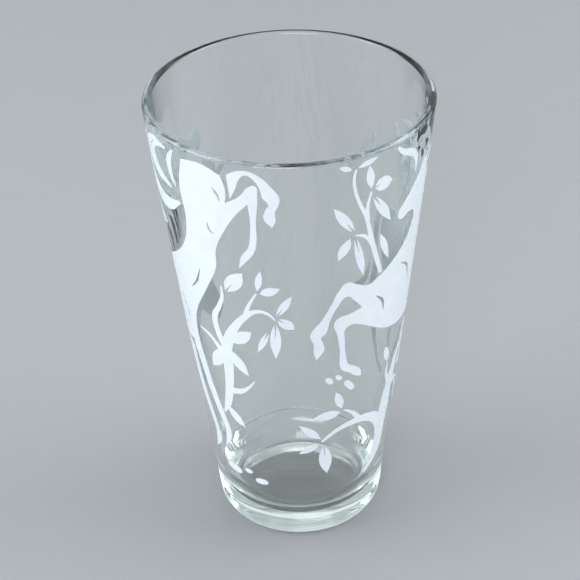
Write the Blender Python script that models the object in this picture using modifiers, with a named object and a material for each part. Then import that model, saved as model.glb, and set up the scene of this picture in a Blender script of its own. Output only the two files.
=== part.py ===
# Pint glass: one heavy-based tapered tumbler, and the fired white enamel print on its outer wall.
# Units are metres, +Z is up, the origin is at the middle of the underside, and -Y faces the front gap
# between the two printed scenes. Each island of enamel is a separate solid, because on the real glass
# every island is a separate deposit that touches nothing but the wall under it.

import math

import bpy
import bmesh
from mathutils import Vector

MM = 0.001

# Driving dimensions, in millimetres
HEIGHT = 151.0
RIM_RADIUS = 42.0
RIM_WALL = 2.4            # thickness of the wall just under the rim
LOW_WALL = 3.6            # thickness of the wall at the foot, before the heel adds more
FOOT_HEIGHT = 14.3        # height of the heavy foot, up to the crease round it
FOOT_TOP_RADIUS = 28.75
WALL_FOOT_RADIUS = 29.0   # outer radius of the wall just above the crease
CREASE = 0.35             # depth of the crease
CREASE_HALF_WIDTH = 0.6
FOOT_BOTTOM_RADIUS = 27.9
FOOT_CORNER = 2.1         # radius of the foot's lower corner
RING_RADIUS = 21.5        # inner edge of the flat ring that the glass stands on
PUNT_DEPTH = 0.5          # hollow under the base
PUNT_SLOPE = 4.5          # width of the slope from the ring up to the hollow
FLOOR_HEIGHT = 4.7        # top of the solid base, inside
FLOOR_RADIUS = 15.2       # flat part of the floor
FLOOR_FILLET = 6.2
FILLET_END = -29          # degrees; the heel takes over from the fillet there
HEEL = 8.1                # how slowly the thick heel thins out up the wall
INNER_STEPS = 10
TURN_STEPS = 56
ARC_STEPS = 5

PRINT_SCALE_RADIUS = 35.0  # a distance x across the print is an angle of x / 35 round the glass
FILM = 0.3                 # thickness of the enamel
FILM_GAP = 0.3             # air that keeps the enamel's solid clear of the glass's
OUTLINE_STEPS = 2          # points on each curved stretch of an outline
STRIP = 6.0                # the print is cut into upright strips this wide before it is wrapped

GLASS_COLOUR = (0.90, 0.95, 0.93)
ENAMEL_COLOUR = (0.93, 0.95, 0.97)

CORNER = "corner"


def clear_scene():
    for old in list(bpy.data.objects):
        bpy.data.objects.remove(old, do_unlink=True)


def new_collection(name):
    collection = bpy.data.collections.new(name)
    bpy.context.scene.collection.children.link(collection)
    return collection


def new_material(name, colour, roughness, transmission=0.0):
    material = bpy.data.materials.new(name)
    material.use_nodes = True
    shader = material.node_tree.nodes["Principled BSDF"]
    shader.inputs["Base Color"].default_value = (*colour, 1.0)
    shader.inputs["Roughness"].default_value = roughness
    shader.inputs["Metallic"].default_value = 0.0
    shader.inputs["Transmission Weight"].default_value = transmission
    return material


# The outer wall is a straight cone from the crease to the lower edge of the rounded rim.
def wall_radius(z):
    top = HEIGHT - RIM_WALL / 2
    share = (z - FOOT_HEIGHT) / (top - FOOT_HEIGHT)
    return WALL_FOOT_RADIUS + (RIM_RADIUS - WALL_FOOT_RADIUS) * share


def arc(centre, radius, start, end, steps=ARC_STEPS):
    points = []
    for step in range(steps + 1):
        angle = math.radians(start + (end - start) * step / steps)
        points.append((centre[0] + radius * math.cos(angle), centre[1] + radius * math.sin(angle)))
    return points


def wall_thickness(z):
    share = (z - FOOT_HEIGHT) / (HEIGHT - RIM_WALL / 2 - FOOT_HEIGHT)
    return LOW_WALL + (RIM_WALL - LOW_WALL) * share


# The inside, from the middle of the floor through the fillet and up the thick heel to the rim.
def inner_wall():
    low = arc((FLOOR_RADIUS, FLOOR_HEIGHT + FLOOR_FILLET), FLOOR_FILLET, -90, FILLET_END)
    start_radius, start_height = low[-1]
    heel = wall_radius(start_height) - wall_thickness(start_height) - start_radius
    top = HEIGHT - RIM_WALL / 2
    rise = []
    for step in range(1, INNER_STEPS):
        z = start_height + (top - start_height) * (step / INNER_STEPS) ** 2
        swell = heel * math.exp((start_height - z) / HEEL)
        rise.append((wall_radius(z) - wall_thickness(z) - swell, z))
    return [(0.0, FLOOR_HEIGHT)] + low + rise


# Profile of the glass from the middle of its floor, over the rim and down the outer side to the middle
# of the underside.
def glass_profile():
    half_wall = RIM_WALL / 2
    lower_corner = (FOOT_BOTTOM_RADIUS - FOOT_CORNER, FOOT_CORNER)
    profile = inner_wall()
    profile += arc((RIM_RADIUS - half_wall, HEIGHT - half_wall), half_wall, 180, 0, steps=6)
    profile.append((wall_radius(FOOT_HEIGHT + CREASE_HALF_WIDTH), FOOT_HEIGHT + CREASE_HALF_WIDTH))
    profile.append((FOOT_TOP_RADIUS - CREASE / 2, FOOT_HEIGHT))
    profile.append((FOOT_TOP_RADIUS, FOOT_HEIGHT - CREASE_HALF_WIDTH))
    profile += arc(lower_corner, FOOT_CORNER, 0, -90)
    profile.append((RING_RADIUS, 0.0))
    profile.append((RING_RADIUS - PUNT_SLOPE, PUNT_DEPTH))
    profile.append((0.0, PUNT_DEPTH))
    return profile


def make_glass(collection, material):
    profile = glass_profile()
    mesh = bpy.data.meshes.new("glass")
    points = [(r * MM, 0.0, z * MM) for r, z in profile]
    mesh.from_pydata(points, [(i, i + 1) for i in range(len(points) - 1)], [])
    glass = bpy.data.objects.new("glass", mesh)
    collection.objects.link(glass)
    screw = glass.modifiers.new("turn", "SCREW")
    screw.axis = "Z"
    screw.angle = math.tau
    screw.steps = TURN_STEPS
    screw.render_steps = TURN_STEPS
    screw.use_merge_vertices = True
    screw.merge_threshold = 0.00001
    screw.use_smooth_shade = True
    mesh.materials.append(material)
    return glass


# Outlines for the print. A point is (x, z) on the unrolled wall, in millimetres, with CORNER as a third
# value where the outline turns sharply.

def leaf(base, tip, width, slit=False):
    start, end = Vector(base), Vector(tip)
    along = end - start
    across = Vector((-along.y, along.x)).normalized() * width / 2
    low, high = start + along * 0.27, start + along * 0.62
    right = [tuple(low - across * 0.80), tuple(high - across * 0.88)]
    left = [tuple(high + across * 0.88), tuple(low + across * 0.80)]
    if not slit:
        return [(*start, CORNER), *right, (*end, CORNER), *left]
    notch = across.normalized() * 0.32
    vein = start + along * 0.42
    return [
        (*(start - notch), CORNER), *right, (*end, CORNER), *left,
        (*(start + notch), CORNER), (*vein, CORNER),
    ]


def pebble(centre, length, width, tilt):
    turn = math.radians(tilt)
    middle = Vector(centre)
    along = Vector((math.cos(turn), math.sin(turn))) * length / 2
    across = Vector((-math.sin(turn), math.cos(turn))) * width / 2
    return [tuple(middle + along), tuple(middle + across), tuple(middle - along), tuple(middle - across)]


# A tapered stroke: a path through hand-picked points, with the stroke's width at each of them.
def stroke(path, widths):
    left, right = [], []
    last = len(path) - 1
    for i, (point, width) in enumerate(zip(path, widths)):
        ahead = Vector(path[min(i + 1, last)]) - Vector(path[max(i - 1, 0)])
        across = Vector((-ahead.y, ahead.x)).normalized() * width / 2
        ends = (CORNER,) if i in (0, last) else ()
        left.append((*(Vector(point) + across), *ends))
        right.append((*(Vector(point) - across), *ends))
    return right + left[::-1]


def left_horse_outlines():
    body = [
        (-27.6, 147.0, CORNER), (-21.5, 148.0), (-16.5, 146.0, CORNER), (-15.6, 141.5),
        (-16.0, 137.0, CORNER), (-12.2, 140.3), (-9.5, 144.0), (-8.3, 144.3), (-7.9, 141.3),
        (-8.7, 132.0), (-9.1, 124.2), (-10.0, 121.0), (-12.2, 117.6), (-14.3, 114.7, CORNER),
        (-13.3, 119.4), (-11.3, 122.8), (-10.5, 127.0), (-10.1, 133.0), (-10.4, 138.0, CORNER),
        (-13.9, 133.2), (-17.4, 126.8), (-20.5, 119.4), (-21.4, 112.5), (-24.6, 105.4),
        (-27.8, 99.4), (-31.4, 93.2), (-34.2, 86.4), (-34.8, 78.0), (-33.0, 68.0), (-30.6, 58.0),
        (-27.4, 48.6), (-26.1, 43.0), (-26.5, 39.6), (-28.2, 37.0), (-30.5, 34.3, CORNER),
        (-29.4, 38.4), (-28.8, 42.8), (-30.8, 48.8), (-34.4, 57.2), (-37.0, 65.6),
        (-39.8, 74.6, CORNER), (-45.4, 72.8), (-51.4, 72.0), (-57.2, 71.6), (-61.6, 69.4),
        (-66.2, 65.4), (-71.0, 60.4), (-74.0, 58.2, CORNER), (-77.0, 61.2), (-75.0, 67.0),
        (-71.2, 74.4), (-68.0, 80.6), (-67.6, 84.4, CORNER), (-70.2, 89.8, CORNER), (-65.4, 87.0),
        (-63.6, 88.0, CORNER), (-64.2, 93.4, CORNER), (-60.4, 89.6), (-56.4, 92.6), (-50.8, 98.6),
        (-44.8, 104.4), (-38.0, 109.6), (-32.4, 116.4), (-29.6, 126.0), (-29.8, 137.0),
    ]
    kicking_leg = [
        (-14.9, 146.7, CORNER), (-12.6, 148.3), (-9.8, 148.8), (-6.9, 147.2), (-4.6, 144.2),
        (-2.9, 140.8), (-3.2, 138.2), (-4.0, 136.0), (-4.0, 133.2), (-4.9, 130.6, CORNER),
        (-6.8, 133.8), (-6.3, 136.4), (-5.5, 138.4), (-6.7, 140.6), (-7.2, 143.2), (-8.5, 146.2),
        (-10.3, 147.5), (-11.8, 146.0), (-12.9, 142.8), (-14.6, 138.8, CORNER),
    ]
    planted_leg = [
        (-40.4, 71.6, CORNER), (-39.4, 61.0), (-37.2, 52.2), (-34.9, 45.6), (-33.2, 40.0),
        (-32.8, 35.6), (-34.4, 32.8), (-37.6, 29.6, CORNER), (-36.4, 34.4), (-35.7, 38.8),
        (-38.0, 45.2), (-41.0, 52.2), (-43.8, 60.2), (-46.4, 71.0, CORNER),
    ]
    mane = [
        ([(-59.8, 92.6), (-63.0, 97.2), (-67.8, 99.2), (-73.0, 97.6)], [0.8, 2.6, 2.2, 0.4]),
        ([(-55.6, 96.6), (-58.8, 101.8), (-64.0, 104.6), (-70.2, 104.0)], [0.8, 2.6, 2.2, 0.4]),
        ([(-50.4, 102.2), (-54.0, 107.2), (-59.4, 110.0), (-65.4, 109.6)], [0.8, 2.4, 2.0, 0.4]),
    ]
    outlines = {
        "left_horse_body": [body],
        "left_horse_kicking_leg": [kicking_leg],
        "left_horse_planted_leg": [planted_leg],
    }
    outlines.update({f"left_mane_lock_{i}": [stroke(*lock)] for i, lock in enumerate(mane, 1)})
    return outlines


LEFT_TAIL = [
    ([(-30.6, 148.2), (-32.4, 144.6), (-32.8, 140.0), (-31.6, 135.6)], [0.6, 1.8, 1.5, 0.3]),
    ([(-33.4, 147.4), (-39.5, 146.6), (-43.0, 142.0), (-40.4, 137.2), (-33.6, 134.4)],
     [0.5, 3.4, 5.4, 4.2, 0.5]),
    ([(-46.4, 145.4), (-50.8, 140.0), (-50.0, 133.0), (-44.4, 127.8), (-37.4, 127.2), (-31.0, 130.6)],
     [0.6, 4.2, 5.8, 5.4, 4.4, 0.8]),
    ([(-55.6, 138.6), (-59.5, 130.6), (-57.2, 122.4), (-50.6, 117.0), (-42.6, 116.4)],
     [0.6, 4.2, 5.4, 4.6, 0.6]),
]


def left_tail_outlines():
    return {f"left_tail_lock_{i}": [stroke(*lock)] for i, lock in enumerate(LEFT_TAIL, 1)}


def left_tree_outlines():
    trunk = stroke(
        [(-27.4, 51.6), (-25.0, 57.0), (-23.2, 65.0), (-22.3, 73.0), (-22.2, 80.0), (-20.3, 86.4),
         (-17.5, 92.0), (-14.2, 96.6), (-10.6, 99.5), (-7.7, 99.2), (-5.5, 96.9)],
        [0.8, 2.8, 3.2, 3.8, 4.0, 3.4, 2.5, 1.9, 1.3, 1.0, 0.5],
    )
    boughs = [
        stroke([(-14.4, 96.0), (-13.0, 100.6), (-11.6, 103.8), (-10.3, 106.4)], [1.7, 1.1, 0.8, 0.5]),
        stroke([(-22.2, 63.6), (-18.8, 64.6), (-16.0, 67.0), (-13.4, 70.6)], [2.6, 1.9, 1.1, 0.3]),
        stroke([(-22.2, 81.0), (-24.4, 87.0), (-24.6, 93.0), (-22.4, 97.6), (-20.8, 102.0), (-20.6, 106.0)],
               [2.6, 2.2, 2.0, 1.5, 1.1, 0.5]),
        stroke([(-22.6, 76.0), (-26.0, 81.4), (-29.0, 83.6), (-32.6, 84.2)], [2.6, 1.7, 1.2, 0.4]),
    ]
    joined_leaves = [
        leaf((-19.6, 84.6), (-12.7, 91.0), 4.3),
        leaf((-21.6, 81.4), (-15.2, 72.3), 4.2),
        leaf((-23.0, 80.2), (-29.4, 70.2), 4.6),
        leaf((-25.6, 55.2), (-18.9, 48.4), 3.6),
    ]
    return {"left_tree": [trunk] + boughs + joined_leaves}


def leaf_outlines(side, leaves):
    return {f"{side}_leaf_{i}": [leaf(*each)] for i, each in enumerate(leaves, 1)}


def pebble_outlines(side, pebbles):
    return {f"{side}_pebble_{i}": [pebble(*each)] for i, each in enumerate(pebbles, 1)}


LEFT_LEAVES = [
    ((-9.95, 107.4), (-8.7, 115.0), 1.9),
    ((-9.3, 106.4), (-3.8, 108.9), 3.0),
    ((-5.0, 98.6), (-0.9, 106.2), 2.4, True),
    ((-4.7, 97.2), (-0.4, 93.6), 3.6, True),
    ((-5.6, 95.2), (-6.1, 81.6), 3.3, True),
    ((-7.8, 91.8), (-11.3, 83.4), 2.1, True),
    ((-19.2, 104.8), (-13.6, 113.2), 4.8, True),
]
LEFT_PEBBLES = [((-27.3, 25.6), 7.0, 3.0, -4), ((-20.3, 27.6), 3.3, 1.9, 0), ((-15.0, 24.5), 5.2, 2.5, 3)]


def right_horse_outlines():
    body = [
        (29.5, 126.4, CORNER), (29.5, 124.0), (31.2, 122.7), (34.6, 123.2), (37.6, 121.6),
        (38.0, 118.8), (36.4, 115.0), (33.0, 111.4), (29.2, 108.8), (25.0, 106.4), (20.6, 104.8),
        (17.2, 106.6), (13.9, 108.3), (12.0, 106.4), (9.6, 101.0), (6.9, 95.6), (4.2, 91.6),
        (3.9, 89.8), (4.8, 87.2), (4.9, 83.6), (5.7, 80.5, CORNER), (8.0, 84.6), (7.7, 86.8),
        (7.1, 89.2), (8.4, 90.8), (9.4, 95.0), (11.6, 100.2), (14.2, 103.1), (16.4, 101.0),
        (19.2, 97.0, CORNER),
        (15.4, 96.1), (11.7, 95.4), (10.7, 93.6), (11.7, 89.4), (12.8, 82.0), (13.0, 76.6),
        (13.7, 74.4), (16.4, 72.2), (18.6, 70.0), (21.0, 68.9, CORNER), (20.3, 72.0), (18.2, 74.2),
        (15.9, 76.0), (14.9, 79.8), (14.2, 86.0), (14.5, 91.0), (16.0, 91.7), (19.6, 90.2),
        (23.8, 87.2), (27.6, 84.5), (33.2, 81.8), (40.0, 80.2), (46.6, 79.4), (51.8, 76.4),
        (54.2, 71.0), (56.2, 63.6), (58.2, 57.4), (57.8, 51.0), (55.8, 45.6), (54.6, 42.8),
        (51.8, 39.6, CORNER), (57.4, 39.8, CORNER), (58.2, 44.0), (60.6, 50.4), (62.8, 57.4),
        (62.0, 62.8), (64.4, 69.8), (69.2, 77.8), (71.4, 86.0), (70.6, 93.2), (68.6, 97.0, CORNER),
        (64.0, 100.8), (57.6, 102.6), (51.8, 105.8), (48.4, 111.0), (47.4, 118.4), (46.4, 126.0),
        (44.6, 132.4), (44.0, 135.0, CORNER), (43.8, 139.8, CORNER), (42.0, 136.4),
        (41.2, 136.4, CORNER), (40.0, 140.6, CORNER), (39.4, 135.6), (36.8, 132.8), (33.0, 129.4),
    ]
    far_leg = stroke(
        [(70.2, 76.6), (69.2, 70.2), (70.4, 63.6), (73.4, 57.0), (72.8, 50.0), (70.6, 44.8), (67.2, 41.4)],
        [0.6, 3.6, 4.4, 3.4, 2.3, 2.2, 3.0],
    )
    return {"right_horse_body": [body], "right_horse_far_leg": [far_leg]}


def right_hair_outlines():
    mane = [
        ([(46.4, 133.0), (51.0, 134.2), (55.8, 131.2), (59.6, 126.0)], [0.8, 2.8, 2.4, 0.4]),
        ([(48.0, 126.4), (52.2, 126.8), (56.4, 123.2), (59.6, 117.6)], [0.8, 2.8, 2.2, 0.4]),
        ([(48.8, 119.6), (52.8, 119.0), (56.2, 115.0), (58.4, 109.8)], [0.8, 2.6, 2.0, 0.4]),
    ]
    tail = [
        ([(71.4, 97.0), (73.6, 91.8), (74.0, 84.4), (73.7, 77.0), (74.9, 69.0), (78.0, 61.8), (83.6, 57.0)],
         [0.8, 2.4, 2.6, 2.6, 2.8, 2.4, 0.4]),
        ([(76.6, 76.0), (77.7, 70.4), (80.6, 66.0), (85.4, 62.8)], [0.4, 1.6, 1.7, 0.3]),
    ]
    outlines = {f"right_mane_lock_{i}": [stroke(*lock)] for i, lock in enumerate(mane, 1)}
    outlines.update({f"right_tail_lock_{i}": [stroke(*lock)] for i, lock in enumerate(tail, 1)})
    return outlines


def right_stem_outlines():
    main = stroke(
        [(24.7, 107.4), (22.3, 115.0), (20.6, 121.0), (19.3, 126.4), (18.2, 130.6), (16.4, 135.0),
         (14.9, 140.0), (14.4, 144.4), (14.8, 147.0)],
        [1.1, 1.5, 1.4, 1.2, 1.1, 0.9, 0.8, 0.7, 0.4],
    )
    forks = [
        stroke([(18.9, 128.6), (18.5, 133.6), (19.3, 138.2)], [1.2, 0.9, 0.5]),
        stroke([(21.0, 119.4), (19.1, 122.6), (17.2, 124.2), (15.6, 124.8)], [1.4, 1.1, 0.8, 0.4]),
    ]
    vine = stroke(
        [(26.4, 149.0), (28.6, 146.6), (31.4, 145.0), (33.8, 142.8), (35.0, 139.6), (35.2, 136.6)],
        [0.8, 1.6, 2.2, 1.8, 1.0, 0.5],
    )
    return {"right_stem": [main] + forks, "right_vine": [vine]}


def right_tree_outlines():
    arch = stroke(
        [(26.8, 21.6), (31.2, 26.2), (34.2, 32.6), (34.0, 39.0), (30.6, 44.6), (25.6, 48.3),
         (19.6, 49.5), (14.2, 48.8), (10.2, 46.6), (7.7, 44.6)],
        [0.8, 4.4, 6.4, 5.8, 4.4, 3.2, 2.4, 1.8, 1.3, 0.8],
    )
    trunk = stroke(
        [(34.4, 33.6), (35.8, 46.0), (37.6, 56.0), (40.4, 64.0), (44.6, 70.4)], [4.6, 7.4, 5.4, 3.0, 0.8]
    )
    twigs = [
        stroke([(22.0, 49.2), (19.8, 52.6), (17.6, 55.0), (15.3, 56.6)], [2.4, 1.6, 1.0, 0.5]),
        stroke([(37.4, 52.6), (41.4, 54.0), (44.8, 53.0), (47.4, 50.6)], [2.6, 1.6, 1.1, 0.5]),
        stroke([(36.4, 57.0), (34.0, 61.6), (33.8, 66.4)], [2.4, 1.4, 0.5]),
    ]
    joined_leaves = [leaf((43.2, 68.0), (47.4, 75.2), 3.4), leaf((41.8, 66.0), (50.4, 67.4), 3.6)]
    return {"right_tree": [arch, trunk] + twigs + joined_leaves}


RIGHT_LEAVES = [
    ((15.3, 147.4), (20.4, 149.1), 1.7),
    ((13.7, 147.2), (10.6, 148.9), 1.6),
    ((19.2, 139.2), (18.2, 147.2), 2.2),
    ((20.2, 139.2), (25.5, 139.6), 4.8, True),
    ((20.2, 136.0), (26.5, 125.0), 2.8, True),
    ((15.0, 126.4), (9.6, 135.8), 2.8, True),
    ((14.2, 124.2), (11.2, 117.2), 3.0),
    ((15.7, 123.4), (18.9, 108.9), 2.4, True),
    ((23.2, 122.0), (27.2, 111.2), 2.2),
    ((7.3, 46.2), (0.1, 52.9), 3.0),
    ((6.8, 43.8), (-0.3, 40.1), 2.8, True),
    ((8.5, 42.4), (9.9, 29.3), 4.9, True),
    ((14.5, 57.6), (12.2, 65.4), 2.9),
    ((14.2, 56.1), (4.6, 55.6), 3.7),
    ((33.6, 67.2), (31.2, 74.6), 2.8),
    ((44.0, 59.0), (51.6, 59.6), 3.4, True),
    ((47.2, 49.6), (46.6, 40.8), 3.6, True),
    ((71.6, 121.6), (74.8, 128.2), 1.8),
    ((64.8, 131.6), (71.4, 130.8), 2.4),
]
RIGHT_PEBBLES = [((9.8, 70.9), 3.4, 1.9, -52), ((12.9, 71.4), 2.7, 1.6, -50), ((16.7, 66.8), 5.4, 2.2, -55)]


# Bare lines left in the larger shapes, where the glass shows through: muscles, eyes and partings.
def parting(path, widths):
    return stroke(path[1:-1], [0.25] + [0.7] * (len(widths) - 4) + [0.25])


def bare_lines():
    lines = {
        "left_horse_body": [
            stroke([(-19.2, 141.4), (-18.0, 139.4), (-17.4, 137.2)], [0.2, 0.7, 0.3]),
            stroke([(-22.0, 128.6), (-21.6, 125.8), (-20.4, 124.8)], [0.2, 0.7, 0.3]),
            stroke([(-27.6, 109.0), (-29.8, 103.6), (-33.0, 99.4)], [0.2, 0.8, 0.2]),
            stroke([(-45.4, 94.6), (-40.4, 89.0), (-38.6, 81.6)], [0.3, 1.0, 0.3]),
            stroke([(-57.0, 85.4), (-53.0, 80.6), (-47.6, 78.0)], [0.3, 0.9, 0.3]),
            pebble((-69.6, 75.4), 1.5, 0.9, -60),
        ],
        "right_horse_body": [
            stroke([(33.8, 105.4), (38.2, 101.8), (40.4, 95.6)], [0.3, 1.0, 0.3]),
            stroke([(24.0, 99.0), (26.8, 95.6), (27.6, 91.6)], [0.3, 0.9, 0.3]),
            stroke([(57.4, 93.6), (55.6, 86.8), (57.6, 80.2)], [0.3, 1.0, 0.3]),
            pebble((37.2, 129.8), 1.4, 0.8, 40),
        ],
    }
    for i, lock in enumerate(LEFT_TAIL[1:], 2):
        lines[f"left_tail_lock_{i}"] = [parting(*lock)]
    return lines


# The sprigs that close each scene at the back: a thin stem with its leaves.
def sprig_outlines():
    left = [
        stroke([(-80.4, 115.0), (-80.2, 107.0), (-78.2, 99.0), (-75.4, 91.6)], [0.8, 1.6, 1.4, 0.4]),
        leaf((-77.4, 117.4), (-79.2, 126.8), 5.0),
        leaf((-80.2, 114.4), (-70.8, 127.4), 4.4),
        leaf((-79.9, 106.2), (-74.4, 111.4), 3.0),
        leaf((-79.6, 103.4), (-85.2, 104.8), 2.8),
        leaf((-78.4, 99.4), (-84.6, 98.6), 3.0),
        leaf((-76.4, 94.0), (-79.6, 87.4), 2.8),
    ]
    right = [
        stroke([(87.2, 107.6), (88.0, 104.4), (88.2, 101.4)], [0.9, 1.1, 0.4]),
        leaf((87.2, 106.6), (82.4, 121.4), 5.0),
        leaf((87.6, 106.0), (93.0, 111.4), 2.6),
    ]
    return {"left_sprig": left, "right_sprig": right}


def add_outline(curve, outline):
    spline = curve.splines.new("BEZIER")
    spline.bezier_points.add(len(outline) - 1)
    for knot, point in zip(spline.bezier_points, outline):
        knot.co = (point[0] * MM, point[1] * MM, 0.0)
        kind = "VECTOR" if CORNER in point else "AUTO"
        knot.handle_left_type = kind
        knot.handle_right_type = kind
    spline.use_cyclic_u = True


# A flat outline, filled and given the film's thickness, as a mesh with its caps welded on. Outlines
# inside the first are bare.
def filled_mesh(name, outline, bare=()):
    curve = bpy.data.curves.new(name, "CURVE")
    curve.dimensions = "2D"
    curve.fill_mode = "BOTH"
    curve.resolution_u = OUTLINE_STEPS
    curve.extrude = FILM / 2 * MM
    for each in (outline, *bare):
        add_outline(curve, each)
    drawn = bpy.data.objects.new(name, curve)
    bpy.context.scene.collection.objects.link(drawn)
    graph = bpy.context.evaluated_depsgraph_get()
    mesh = bpy.data.meshes.new_from_object(drawn.evaluated_get(graph))
    bpy.data.objects.remove(drawn, do_unlink=True)
    shape = bmesh.new()
    shape.from_mesh(mesh)
    bmesh.ops.remove_doubles(shape, verts=shape.verts, dist=0.000001)
    shape.to_mesh(mesh)
    shape.free()
    return mesh


# Overlapping shapes become one island: the first takes a Boolean union with each of the others.
def joined_mesh(name, outlines, cutters):
    bare = bare_lines().get(name, ())
    base = bpy.data.objects.new(name + "_flat", filled_mesh(name, outlines[0], bare))
    cutters.objects.link(base)
    for i, outline in enumerate(outlines[1:], 1):
        other = bpy.data.objects.new(f"{name}_flat_{i}", filled_mesh(name, outline))
        cutters.objects.link(other)
        union = base.modifiers.new("join", "BOOLEAN")
        union.operation = "UNION"
        union.solver = "EXACT"
        union.object = other
    graph = bpy.context.evaluated_depsgraph_get()
    mesh = bpy.data.meshes.new_from_object(base.evaluated_get(graph))
    for flat in list(cutters.objects):
        bpy.data.objects.remove(flat, do_unlink=True)
    return mesh


def cut_into_strips(shape):
    xs = [corner.co.x / MM for corner in shape.verts]
    for line in range(math.ceil(min(xs) / STRIP), math.floor(max(xs) / STRIP) + 1):
        everything = shape.verts[:] + shape.edges[:] + shape.faces[:]
        plane = Vector((line * STRIP * MM, 0.0, 0.0))
        bmesh.ops.bisect_plane(shape, geom=everything, dist=0.000002, plane_co=plane, plane_no=(1, 0, 0))


# Bends the flat print round the wall: x becomes an angle, y a height, and the thickness runs outward.
def wrap(shape):
    for corner in shape.verts:
        x, z, depth = (value / MM for value in corner.co)
        angle = x / PRINT_SCALE_RADIUS
        radius = wall_radius(z) + FILM_GAP + FILM / 2 + depth
        corner.co = Vector((radius * math.sin(angle), -radius * math.cos(angle), z)) * MM


def make_island(name, outlines, collection, cutters, material):
    mesh = joined_mesh(name, outlines, cutters)
    shape = bmesh.new()
    shape.from_mesh(mesh)
    cut_into_strips(shape)
    wrap(shape)
    bmesh.ops.triangulate(shape, faces=shape.faces)
    shape.to_mesh(mesh)
    shape.free()
    mesh.name = name
    mesh.materials.clear()
    mesh.materials.append(material)
    mesh.shade_smooth()
    mesh.set_sharp_from_angle(angle=math.radians(30))
    island = bpy.data.objects.new(name, mesh)
    collection.objects.link(island)
    return island


def print_outlines():
    outlines = {}
    outlines.update(left_horse_outlines())
    outlines.update(left_tail_outlines())
    outlines.update(left_tree_outlines())
    outlines.update(leaf_outlines("left", LEFT_LEAVES))
    outlines.update(pebble_outlines("left", LEFT_PEBBLES))
    outlines.update(right_horse_outlines())
    outlines.update(right_hair_outlines())
    outlines.update(right_stem_outlines())
    outlines.update(right_tree_outlines())
    outlines.update(leaf_outlines("right", RIGHT_LEAVES))
    outlines.update(pebble_outlines("right", RIGHT_PEBBLES))
    outlines.update(sprig_outlines())
    return outlines


def main():
    clear_scene()
    parts = new_collection("pint_glass")
    cutters = new_collection("joining_shapes")
    glass = new_material("clear_glass", GLASS_COLOUR, 0.02, transmission=1.0)
    enamel = new_material("white_enamel", ENAMEL_COLOUR, 0.35)
    make_glass(parts, glass)
    for name, outlines in print_outlines().items():
        make_island(name, outlines, parts, cutters, enamel)


main()
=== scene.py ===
# Pint glass with a fired white print, standing on a pale studio floor.
import math

import bmesh
import bpy
from mathutils import Matrix, Vector


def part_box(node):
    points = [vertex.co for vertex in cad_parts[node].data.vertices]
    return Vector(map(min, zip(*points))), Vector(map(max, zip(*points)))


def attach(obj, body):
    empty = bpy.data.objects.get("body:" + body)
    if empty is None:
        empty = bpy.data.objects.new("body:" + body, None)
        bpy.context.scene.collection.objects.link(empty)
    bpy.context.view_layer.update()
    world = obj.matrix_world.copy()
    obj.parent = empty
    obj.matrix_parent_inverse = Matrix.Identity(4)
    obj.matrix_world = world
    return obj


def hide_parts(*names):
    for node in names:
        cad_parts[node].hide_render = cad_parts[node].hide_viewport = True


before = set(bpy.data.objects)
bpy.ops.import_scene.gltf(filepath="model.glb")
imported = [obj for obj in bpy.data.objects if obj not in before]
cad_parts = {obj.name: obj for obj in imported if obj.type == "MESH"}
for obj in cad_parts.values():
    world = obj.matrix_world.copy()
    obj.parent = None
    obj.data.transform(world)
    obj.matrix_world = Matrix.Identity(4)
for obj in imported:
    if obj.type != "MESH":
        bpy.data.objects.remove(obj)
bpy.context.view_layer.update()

mm = 0.001
sameSpot = 0.000001      # metres; corners closer than this are welded into one
finerSpot = 0.0000005    # the same, where the corners are closer together
sharp = "sharp"          # marks a point where an outline turns a corner
print("frame loaded:", len(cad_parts), "nodes")


# The camera looks down at the glass from in front.
cameraSettings = {
    "lens": 81.34,
    "sensor": 36.0,
    "place": (0.0, -0.3351, 0.3240),
    "right": (0.99954, -0.01473, -0.02656),
    "up": (0.03015, 0.58676, 0.80920),
    "near": 0.01,
    "far": 20.0,
}


def makeCamera():
    s = cameraSettings
    right, up = Vector(s["right"]).normalized(), Vector(s["up"]).normalized()
    turn = Matrix((right, up, right.cross(up))).transposed().to_4x4()
    data = bpy.data.cameras.new("camera")
    data.lens = s["lens"]
    data.sensor_width = s["sensor"]
    data.clip_start = s["near"]
    data.clip_end = s["far"]
    camera = bpy.data.objects.new("camera", data)
    camera.matrix_world = Matrix.Translation(s["place"]) @ turn
    bpy.context.scene.collection.objects.link(camera)
    bpy.context.scene.camera = camera
    print("camera: lens", s["lens"])


makeCamera()


# Small helpers that all the pieces use.
def linkNew(name, mesh, material):
    mesh.materials.clear()
    mesh.materials.append(material)
    piece = bpy.data.objects.new(name, mesh)
    bpy.context.scene.collection.objects.link(piece)
    return piece


def bakedMesh(thing):  # the object's mesh with its modifiers worked in
    graph = bpy.context.evaluated_depsgraph_get()
    return bpy.data.meshes.new_from_object(thing.evaluated_get(graph))


def turned(name, profile, steps):  # a profile in mm, turned round the upright axis
    mesh = bpy.data.meshes.new(name)
    points = [(r * mm, 0.0, z * mm) for r, z in profile]
    mesh.from_pydata(points, [(i, i + 1) for i in range(len(points) - 1)], [])
    half = bpy.data.objects.new(name, mesh)
    bpy.context.scene.collection.objects.link(half)
    screw = half.modifiers.new("turn", "SCREW")
    screw.axis = "Z"
    screw.angle = math.tau
    screw.steps = steps
    screw.render_steps = steps
    screw.use_merge_vertices = True
    screw.merge_threshold = sameSpot
    solid = bakedMesh(half)
    bpy.data.objects.remove(half, do_unlink=True)
    return solid


def arc(centre, radius, start, end, steps):
    points = []
    for step in range(steps + 1):
        a = math.radians(start + (end - start) * step / steps)
        points.append((centre[0] + radius * math.cos(a), centre[1] + radius * math.sin(a)))
    return points


def smoothStep(low, high, value):
    t = min(1.0, max(0.0, (value - low) / (high - low)))
    return t * t * (3 - 2 * t)


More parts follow.
